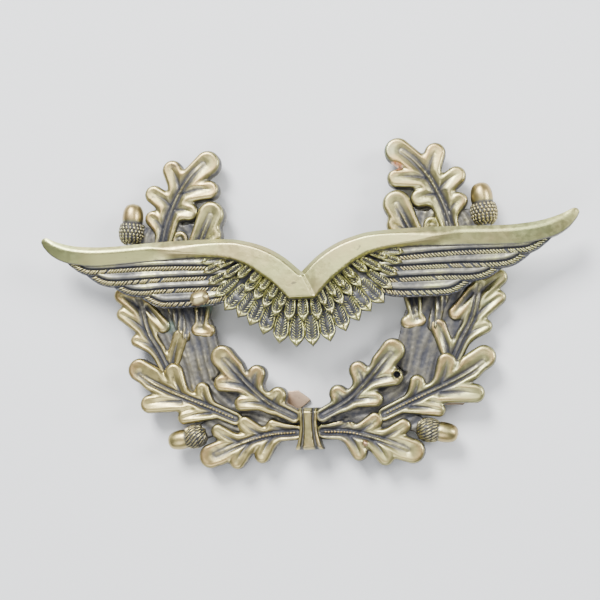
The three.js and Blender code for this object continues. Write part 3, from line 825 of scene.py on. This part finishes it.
def scale_places(cup, along, radius, slanted):
    """Overlapping scales in staggered rows round a cup, or slanted ridges where slanted is true."""
    across = np.array([-along[1], along[0]])
    stretch = (2.3 * radius, 0.85 * radius, radius) if slanted else (radius, radius, radius)
    places = []
    for row, polar in enumerate(np.linspace(-1.15, CUP_LIP - 0.12, 4 if slanted else 7)):
        ring = radius * round_share(polar, 0.6)
        count = max(int(2 * math.pi * ring / (0.30 * radius)), 5)
        for k in range(count):
            angle = 2 * math.pi * (k + 0.5 * (row % 2)) / count
            flat = cup + along * radius * math.sin(polar) + across * ring * math.cos(angle)
            height = ACORN_MIDDLE + ring * math.sin(angle)
            if height > WREATH_BACK + 0.2:
                level = along * math.sin(polar) * 0.6 + across * math.cos(polar) * math.cos(angle)
                normal = Vector((*level, math.cos(polar) * math.sin(angle))).normalized()
                forward = Vector((*along, 0)) - normal * (Vector((*along, 0)) @ normal)
                forward.normalize()
                if slanted:
                    forward = Matrix.Rotation(math.radians(35), 3, normal) @ forward
                basis = Matrix((forward, normal.cross(forward), normal)).transposed()
                places.append(((flat[0], flat[1], height), tuple(basis.to_euler()), stretch))
    return places


# ---- Ribbon ------------------------------------------------------------------------------------
def ribbon(name):
    """The band round the crossed stems: a raised middle and rims, with a groove on each side."""
    right = curve_through(RIBBON_HALF, 5)
    outline = [tuple(p) for p in right] + [(-x, y) for x, y in reversed(right)]
    field = outline_field(outline)
    points, triangles = patch(field, (-2.1, -19.5), (2.1, -13.6), FINE * 0.8)
    depth = -field(points)
    half = np.interp(points[:, 1], [y for _, y in reversed(right)], [x for x, _ in reversed(right)])
    u = np.abs(points[:, 0]) / half
    middle = RIBBON_GROOVE * (1 - smooth_step(0.36, 0.52, u))
    rims = RIBBON_GROOVE * smooth_step(0.62, 0.76, u)
    wrap = 0.55 * (1 - smooth_step(-19.2, -18.6, points[:, 1]))
    wrap += 0.45 * smooth_step(-14.5, -13.9, points[:, 1])
    top = RIBBON_FRONT - RIBBON_GROOVE - edge_drop(depth, 0.22) + middle + rims - wrap
    # Grooves darker with patina; the ends, where the band turns down round the stems, are painted darker:
    # painted shade.
    hollow = np.clip(0.62 - 1.6 * (middle + rims) + 0.15 * wrap, 0, 1)
    return closed_piece(name, points, triangles, top, WREATH_BACK - BACK_STEP, hollow)


# ---- Wings -------------------------------------------------------------------------------------
def bar(name):
    """The shoulder bar of both wings: bevelled along its edges and folded at the middle."""
    upper = [curve_through(mirrored(BAR_UPPER, side), BAR_RUN) for side in (1, -1)]
    lower = [curve_through(mirrored(BAR_LOWER, side), BAR_RUN) for side in (1, -1)]
    field = outline_field([tuple(p) for p in upper[0] + lower[0] + lower[1][::-1] + upper[1][::-1]])
    points, triangles = patch(field, (-34.4, -0.9), (34.4, 9.3), FINE)
    to_upper = np.min([path_distance(points, run) for run in upper], axis=0)
    to_lower = np.min([path_distance(points, run) for run in lower], axis=0)
    to_lower = np.minimum(to_lower, segment_distance(points, (-1.7, -0.55), (1.7, -0.55))[0] + 0.02)
    out = smooth_step(9.0, 20.0, np.abs(points[:, 0]))
    steep_upper = 1.15 + (0.55 - 1.15) * out
    steep_lower = 2.6 + (0.24 - 2.6) * out
    rise = WING_FRONT - BAR_FOOT
    slopes = soft_least(0.12 + steep_upper * to_upper, 0.10 + steep_lower * to_lower, 0.12 + 0.10 * out)
    bevel = soft_least(slopes, np.full(len(points), rise), 0.14 + 0.16 * out)
    crease = mitre(points)
    tip_down = 0.15 * smooth_step(28, 34, np.abs(points[:, 0]))
    top = WING_FRONT - rise + bevel - crease - tip_down
    below_face = np.minimum(np.abs(bevel - rise), 0.3)
    # The flat face comes out a little lighter than the bevels; the dark line along the lower edge is a
    # painted shadow.
    hollow = np.clip(0.04 + 0.05 * rough(points, 2.3, 4) - 0.25 * (0.3 - below_face)
                     + 0.6 * np.exp(-(to_lower / 0.12) ** 2), 0, 1)
    return closed_piece(name, points, triangles, top, WING_BACK + BACK_STEP, hollow)


def soft_least(first, second, blend):
    """The lesser of two heights, with the crease between them rounded."""
    mix = np.clip(0.5 + 0.5 * (first - second) / blend, 0, 1)
    return first + (second - first) * mix - blend * mix * (1 - mix)


def mitre(points):
    """The fold where the two arms of the bar meet: it runs from the notch to the right corner."""
    start, end = np.array([0.1, 2.9]), np.array([1.65, -0.3])
    along = (end - start) / np.linalg.norm(end - start)
    beyond = (points - start) @ np.array([-along[1], along[0]])
    reach = smooth_step(-0.3, 0.3, (points - start) @ along)
    return 0.20 * smooth_step(-0.30, 0.12, beyond) * np.exp(-np.maximum(beyond, 0) / 0.9) * reach


def long_feather(name, spec, side):
    """One long feather: a sunken bed for its barbs along the lower edge, and a smooth band above."""
    upper = curve_through(mirrored(spec["upper"], side), 4)
    lower = curve_through(mirrored(spec["lower"], side), 5)
    field = outline_field([tuple(p) for p in upper] + [tuple(p) for p in lower])
    both = np.array(upper + lower)
    points, triangles = patch(field, both.min(0) - 0.3, both.max(0) + 0.3, FINE)
    depth = -field(points)
    to_lower = path_distance(points, lower)
    bed = 0.30 * (1 - smooth_step(0.86, 0.98, to_lower))
    lip = 0.10 * np.exp(-((to_lower - 0.06) / 0.06) ** 2)
    rounding = 0.08 * np.sin(np.clip((to_lower - 0.94) / 0.56, 0, 1) * math.pi)
    top = spec["top"] - bed + lip + rounding - edge_drop(depth, 0.16)
    groove = np.exp(-((to_lower - 0.96) / 0.07) ** 2)
    hollow = np.clip(0.54 + 1.4 * bed - 2.6 * lip - 1.6 * rounding + 0.35 * groove
                     + 0.12 * rough(points, 1.1, 1), 0, 1)
    back = WING_BACK + 2 * BACK_STEP + 0.1 * (PRIMARIES[0]["top"] - spec["top"])
    return closed_piece(name, points, triangles, top, back, hollow), lower, spec["top"]


LONG_BARB_SPACING = 0.41


def long_barb_places(lower, height, side):
    """Slanted barbs along the lower edge of a long feather, like the strands of a rope."""
    places, walked = [], 0.0
    run = curve_through(lower, 4)
    for here, there in zip(run, run[1:]):
        step = np.linalg.norm(there - here)
        walked += step
        if walked > LONG_BARB_SPACING:
            walked -= LONG_BARB_SPACING
            along = (there - here) / step
            inward = np.array([-along[1], along[0]]) * side
            if inward[1] < 0:
                inward = -inward
            spot = here + inward * 0.49
            if abs(spot[0]) < abs(lower[0][0]) - 0.35:
                slant = math.radians(42 if side < 0 else 138)
                heading = math.atan2(along[1], along[0]) if along[0] > 0 else math.atan2(-along[1], -along[0])
                places.append(((spot[0], spot[1], height - 0.20), (0, 0, heading + slant),
                               (1.55, 1.2, 1.3)))
    return places


def feather_shape(name, length, width, barbs, barb_tree):
    """One short feather lying along -Y from its root, tip at the origin, front at z = 0."""
    half = width / 2
    outline = curve_through([(0, 0), (0.62 * half, 0.15 * length), (0.95 * half, 0.28 * length),
                             (half, 0.40 * length), (0.9 * half, 0.66 * length), (0.6 * half, length)], 5)
    outline = [tuple(p) for p in outline] + [(-x, y) for x, y in reversed(outline)][:-1]
    field = outline_field(outline)
    points, triangles = patch(field, (-half - 0.2, -0.2), (half + 0.2, length + 0.2), FINE * 0.75)
    depth = -field(points)
    to_vein = np.abs(points[:, 0])
    solid_tip = 1 - smooth_step(0.17 * length, 0.30 * length, points[:, 1])
    bed = 0.26 * smooth_step(0.17, 0.32, depth) * (1 - solid_tip)
    vein = 0.20 * np.exp(-(to_vein / 0.07) ** 2) * (1 - solid_tip * 0.6)
    tilt = -0.05 * points[:, 1]
    top = tilt - bed + vein - edge_drop(depth, 0.26)
    # Patina in the sunken bed; the darkening on the rounded edge is painted shade.
    hollow = np.clip(0.02 + 3.6 * bed - 1.5 * vein + 2.4 * edge_drop(depth, 0.26), 0, 1)
    back = WING_BACK + FEATHER_BACK - FEATHER_ROWS["lower"]["top"]
    blade = closed_piece(name, points, triangles, top, back, hollow)
    places = []
    for k in range(barbs):
        y = length * (0.25 + 0.60 * k / (barbs - 1))
        reach = half * (0.52 + 0.30 * math.sin(math.pi * (k + 1.2) / (barbs + 1.2)))
        for hand in (-1, 1):
            places.append(((hand * (0.06 + reach * 0.42), y + 0.18, -0.05 * y - 0.20),
                           (0, 0, math.radians(90 - hand * 48)), (0.95 * reach / 0.62, 0.72, 0.85)))
    barb_piece = set_out(name + "_barbs", *barb_tree, 1.0, places)
    return join_meshes(name + "_whole", [blade, barb_piece])


def join_meshes(name, pieces):
    """One mesh object from several; the originals are removed."""
    work = bmesh.new()
    for piece in pieces:
        work.from_mesh(piece.data)
    mesh = bpy.data.meshes.new(name)
    work.to_mesh(mesh)
    work.free()
    for piece in pieces:
        bpy.data.objects.remove(piece)
    return finish_mesh(name, mesh, 60)


def solder_drop(name):
    """A lump on the left wing's lowest feathers."""
    middle, half_x, half_y = (-13.2, 0.3), 1.3, 0.85
    start = (middle[0] - half_x + half_y, middle[1] - 0.1)
    end = (middle[0] + half_x - half_y, middle[1] + 0.1)

    def field(points):
        return segment_distance(points, start, end)[0] - half_y + 0.08 * rough(points, 0.5, 1.0)
    low, high = (middle[0] - 1.6, middle[1] - 1.3), (middle[0] + 1.6, middle[1] + 1.3)
    points, triangles = patch(field, low, high, FINE)
    depth = -field(points)
    top = PRIMARIES[2]["top"] - 0.15 + 0.70 * np.sqrt(np.clip(depth / half_y, 0, 1))
    top += 0.05 * rough(points, 0.4, 3.0)
    hollow = 0.05 + 0.5 * (1 - smooth_step(0, 0.25, depth))
    return closed_piece(name, points, triangles, top, WING_BACK + 0.2, hollow, np.full(len(points), 0.44))


def web(name, side):
    """The plate that the short feathers lie on, dark: patina deep under the feathers, and painted shade in
    the gaps between them.
    """
    outline = mirrored(WEB, side)
    field = outline_field(outline)
    both = np.array(outline)
    points, triangles = patch(field, both.min(0) - 0.3, both.max(0) + 0.3, COARSE)
    top = WEB_TOP + 0.14 * rough(points, 0.3, 2.0)
    return closed_piece(name, points, triangles, top, WING_BACK, np.full(len(points), 0.9))


# ---- Rivets, prong feet and legs ---------------------------------------------------------------
def node_box(node):
    """The node's corners in the tables' own millimetres."""
    low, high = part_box(node)
    shift = np.array((0, CENTRE_SHIFT, 0))
    return np.array(low) / MM - shift, np.array(high) / MM - shift


def rivet(name, node):
    """A rivet standing on end: a domed head at the back, and a shank half as wide up to the wings."""
    low, high = node_box(node)
    centre, radius, length = (low + high) / 2, (high[0] - low[0]) / 2, high[2] - low[2]
    profile = [(0.0, 0.05), (0.05, radius * 0.45), (0.22, radius * 0.8), (0.42, radius * 0.97),
               (0.62, radius), (0.78, radius * 0.98), (0.80, radius * 0.5), (length, radius * 0.5),
               (length, 0.05)]
    vertices, around = [], 48
    for height, ring in profile:
        for k in range(around):
            angle = 2 * math.pi * k / around
            x, y = centre[0] + ring * math.cos(angle), centre[1] + ring * math.sin(angle)
            vertices.append((x * MM, y * MM, (low[2] + height) * MM))
    mesh = bpy.data.meshes.new(name)
    mesh.from_pydata(vertices, [], ring_faces(len(profile), around))
    tidy_mesh(mesh)
    shade_evenly(mesh, 0.15)
    return finish_mesh(name, mesh)


def bevelled(name, vertices, faces, width):
    """A plain cut piece with its sharp edges rounded off."""
    mesh = bpy.data.meshes.new(name)
    mesh.from_pydata([tuple(c * MM for c in v) for v in vertices], [], faces)
    tidy_mesh(mesh)
    shade_evenly(mesh, 0.12)
    work = bmesh.new()
    work.from_mesh(mesh)
    sharp = [edge for edge in work.edges if edge.calc_face_angle(0) > math.radians(35)]
    bmesh.ops.bevel(work, geom=sharp, offset=width * MM, segments=3, profile=0.6, affect="EDGES")
    work.to_mesh(mesh)
    work.free()
    return finish_mesh(name, mesh)


def prism(outline, low, high):
    count = len(outline)
    vertices = [(x, y, low) for x, y in outline] + [(x, y, high) for x, y in outline]
    faces = [list(range(count))[::-1], list(range(count, 2 * count))]
    faces += [[i, (i + 1) % count, (i + 1) % count + count, i + count] for i in range(count)]
    return vertices, faces


STRIP_THICK = 0.6                            # thickness of a leg's strip
BEND_RADIUS = 0.5                            # outer radius of the curl at a leg's root
CURL_NECK = 0.25                             # how far past the bend the curl meets the strip's top
STRIP_EDGE = 0.07                            # rounding of a leg's edges
# A leg's pointed end: (distance back from the tip, share of the strip's width).
LEG_POINT = [(1.0, 0.72), (0.5, 0.4), (0.2, 0.22), (0.0, 0.05)]
FOOT_THICK, FOOT_EDGE = 0.5, 0.12            # the plate that is soldered to the wreath
STUB_HALF_X, STUB_HALF_Y, STUB_EDGE = 0.25, 1.2, 0.08
STUB_BELOW = 0.45                            # the stub ends this far below the plate's top


def leg(name, node, bend_x, direction):
    """A flat pointed strip whose root curls round its bend line. Seen from the side it is one profile."""
    low, high = node_box(node)
    half = (high[1] - low[1]) / 2
    middle = (high[1] + low[1]) / 2
    reach = max(abs(high[0] - bend_x), abs(low[0] - bend_x))
    profile = [(BEND_RADIUS * math.cos(a), BEND_RADIUS + BEND_RADIUS * math.sin(a))
               for a in np.linspace(-0.5 * math.pi, -1.5 * math.pi, 10)]
    profile += [(CURL_NECK, BEND_RADIUS + math.sqrt(BEND_RADIUS ** 2 - CURL_NECK ** 2)),
                (BEND_RADIUS, STRIP_THICK)]
    stations = list(np.linspace(BEND_RADIUS, reach - 1.5, 8)) + [reach - back for back, _ in LEG_POINT]
    widths = [half] * 8 + [half * share for _, share in LEG_POINT]
    vertices, faces = [], []
    for x, z in profile:
        vertices += [(x, -half, z), (x, half, z)]
    for station, width in zip(stations[1:], widths[1:]):
        vertices += [(station, -width, STRIP_THICK), (station, width, STRIP_THICK)]
    for station, width in zip(reversed(stations), reversed(widths)):
        vertices += [(station, -width, 0), (station, width, 0)]
    total = len(vertices) // 2
    for k in range(total):
        a, b = k, (k + 1) % total
        faces.append([2 * a, 2 * b, 2 * b + 1, 2 * a + 1])
    sides = [2 * k for k in range(total)]
    faces.append(sides)
    faces.append([i + 1 for i in reversed(sides)])
    placed = [(bend_x + direction * x, middle + y, z) for x, y, z in vertices]
    return bevelled(name, placed, faces, STRIP_EDGE)


def prong_foot(name, node):
    """An oblong plate with round ends, and the short stub that both legs leave from."""
    low, high = node_box(node)
    middle = (low + high) / 2
    half_x, half_y = (high[0] - low[0]) / 2, (high[1] - low[1]) / 2
    outline = []
    for centre, start in ((half_x - half_y, -0.5), (half_y - half_x, 0.5)):
        for k in range(13):
            angle = math.pi * (start + k / 12)
            x, y = centre + half_y * math.cos(angle), half_y * math.sin(angle)
            outline.append((middle[0] + x, middle[1] + y))
    plate = bevelled(name + "_plate", *prism(outline, high[2] - FOOT_THICK, high[2]), FOOT_EDGE)
    stub_outline = [(middle[0] + hand_x * STUB_HALF_X, middle[1] + hand_y * STUB_HALF_Y)
                    for hand_x, hand_y in ((-1, -1), (1, -1), (1, 1), (-1, 1))]
    stub = bevelled(name + "_stub", *prism(stub_outline, low[2], high[2] - STUB_BELOW), STUB_EDGE)
    return join_meshes(name, [plate, stub])


# ---- Making the badge --------------------------------------------------------------------------
def make_wreath():
    bead = small_shape("bead", 0.30, 0.34, 0.34, 0.35)
    scale = small_shape("scale", 0.30, 0.36, 0.20, 0.5, taper=0.5)
    bead_tree = placing_tree("bead_line", bead, WREATH_BRASS, "Bead size")
    scale_tree = placing_tree("scale_rows", scale, WREATH_BRASS, "Scale size")
    for side in (-1, 1):
        hand, node = side_name(side), f"{side_name(side)}_branch"
        dress(ground(f"{hand}_ground", side), WREATH_BRASS, "root", node)
        dress(stem(f"{hand}_stem", side), WREATH_BRASS, "root", node)
        beads = []
        for order, (leaf_name, spec) in enumerate(LEAVES.items(), 2):
            piece, rib = leaf(f"{hand}_{leaf_name}", spec, side, WREATH_BACK + BACK_STEP * order)
            dress(piece, WREATH_BRASS, "root", node)
            if rib:
                beads += bead_places(*rib)
        rib_beads = set_out(f"{hand}_rib_beads", *bead_tree, 1.0, beads)
        dress(rib_beads, WREATH_BRASS, "root", node)
        for place, spec in ACORNS.items():
            nut, cup, cup_shape = acorn(f"{hand}_{place}_acorn", spec, side)
            dress(nut, WREATH_BRASS, "root", node)
            dress(cup, WREATH_BRASS, "root", node)
            scales = set_out(f"{hand}_{place}_cup_scales", *scale_tree, 1.0,
                             scale_places(*cup_shape, slanted=place == "lower"))
            dress(scales, WREATH_BRASS, "root", node)
    dress(ribbon("ribbon"), WREATH_BRASS, "root", "ribbon_band")
    for helper in (bead, scale):
        bpy.data.objects.remove(helper)


def make_wings():
    barb = small_shape("barb", 0.21, 0.62, 0.26, 0.42, steps=8, rings=5)
    barb_tree = placing_tree("barb_rows", barb, BARB_BRASS, "Barb size")
    for side in (-1, 1):
        hand = side_name(side)
        dress(web(f"{hand}_web", side), WING_BRASS, "root", "wings")
        barbs = []
        for number, spec in enumerate(PRIMARIES, 1):
            piece, lower, height = long_feather(f"{hand}_long_feather_{number}", spec, side)
            dress(piece, WING_BRASS, "root", "wings")
            barbs += long_barb_places(lower, height, side)
        long_barbs = set_out(f"{hand}_long_barbs", *barb_tree, 1.0, barbs)
        dress(long_barbs, BARB_BRASS, "root", "wings")
    dress(bar("shoulder_bar"), WING_BRASS, "root", "wings")
    dress(solder_drop("left_solder_drop"), WING_BRASS, "root", "wings")
    for row, spec in FEATHER_ROWS.items():
        shape = feather_shape(f"{row}_feather", spec["length"], spec["width"], spec["barbs"], barb_tree)
        tree = placing_tree(f"{row}_feather_row", shape, WING_BRASS, "Feather size")
        places = []
        for side in (-1, 1):
            for order, (x, y, lean) in enumerate(spec["tips"]):
                height = spec["top"] - 0.02 * order
                places.append(((side * x, y, height), (0, 0, math.radians(side * lean)), (1, 1, 1)))
        if row == "middle":
            places.append(((0, -3.35, spec["top"]), (0, 0, 0), (1, 1, 1)))
        dress(set_out(f"{row}_feathers", *tree, 1.0, places), WING_BRASS, "root", "wings")
        bpy.data.objects.remove(shape)
    bpy.data.objects.remove(barb)


def make_fixings():
    bends = {joint["child"]: joint["pos_m"][0] / MM for joint in frame["record"]["behaviour"]["joints"]}
    for hand, inward in (("left", 1), ("right", -1)):
        pin = rivet(f"{hand}_rivet_pin", f"{hand}_rivet")
        dress(pin, STRIP_BRASS, "root", f"{hand}_rivet")
        foot = prong_foot(f"{hand}_foot", f"{hand}_prong_foot")
        dress(foot, STRIP_BRASS, "root", f"{hand}_prong_foot")
        for place, direction in (("inner", inward), ("outer", -inward)):
            node = f"{hand}_{place}_leg"
            piece = leg(f"{hand}_{place}_strip", node, bends[node + "_body"], direction)
            dress(piece, STRIP_BRASS, node + "_body", node)


# ---- Board, light and camera -------------------------------------------------------------------
def make_board():
    mesh = bpy.data.meshes.new("board")
    reach, low = 1.2, -0.01 * MM
    corners = [(x * reach, y * reach, low) for x, y in ((-1, -1), (1, -1), (1, 1), (-1, 1))]
    mesh.from_pydata(corners, [], [(0, 1, 2, 3)])
    board = bpy.data.objects.new("board", mesh)
    bpy.context.collection.objects.link(board)
    look = Look("pale_board")
    pale = look.blend(look.noise(30, 2), (0.74, 0.75, 0.77), (0.78, 0.79, 0.80))
    look.link(pale, look.shader.inputs["Base Color"])
    look.shader.inputs["Roughness"].default_value = 0.9
    board.data.materials.append(look.material)


def soft_light(name, position, size, power):
    data = bpy.data.lights.new(name, "AREA")
    data.size = size
    data.energy = power
    light = bpy.data.objects.new(name, data)
    light.location = position
    light.rotation_euler = (-Vector(position)).to_track_quat("-Z", "Y").to_euler()
    bpy.context.collection.objects.link(light)


def make_lights():
    """A window behind on the left, and weaker light from the right, from above and from the front."""
    soft_light("window", (-0.12, 0.30, 0.36), 0.18, 4.9)
    soft_light("side_fill", (0.36, 0.10, 0.26), 0.16, 1.8)
    soft_light("overhead", (0.05, 0.13, 0.50), 0.20, 0.7)
    soft_light("near_fill", (-0.10, -0.28, 0.36), 0.28, 1.0)
    world = bpy.data.worlds.new("room")
    world.use_nodes = True
    world.node_tree.nodes["Background"].inputs["Color"].default_value = (0.80, 0.84, 0.90, 1)
    world.node_tree.nodes["Background"].inputs["Strength"].default_value = 0.42
    bpy.context.scene.world = world


def make_camera():
    """A close camera looking almost straight down, a little from the right and from below."""
    distance, aside = 0.130, 0.00116
    tip_back, tip_side, roll = math.radians(-6.34), math.radians(-8.00), math.radians(2.70)
    turn = Matrix.Rotation(roll, 3, "Z") @ Matrix.Rotation(tip_side, 3, "Y")
    turn = turn @ Matrix.Rotation(tip_back, 3, "X")
    data = bpy.data.cameras.new("camera")
    data.sensor_width = 36
    data.lens = 60
    data.clip_start = 0.01
    camera = bpy.data.objects.new("camera", data)
    place = turn.transposed() @ -Vector((aside, 0, -distance)) + Vector((0, CENTRE_SHIFT * MM, 0))
    camera.matrix_world = Matrix.Translation(place) @ turn.transposed().to_4x4()
    bpy.context.collection.objects.link(camera)
    bpy.context.scene.camera = camera


make_wreath()
make_wings()
make_fixings()
make_board()
make_lights()
make_camera()
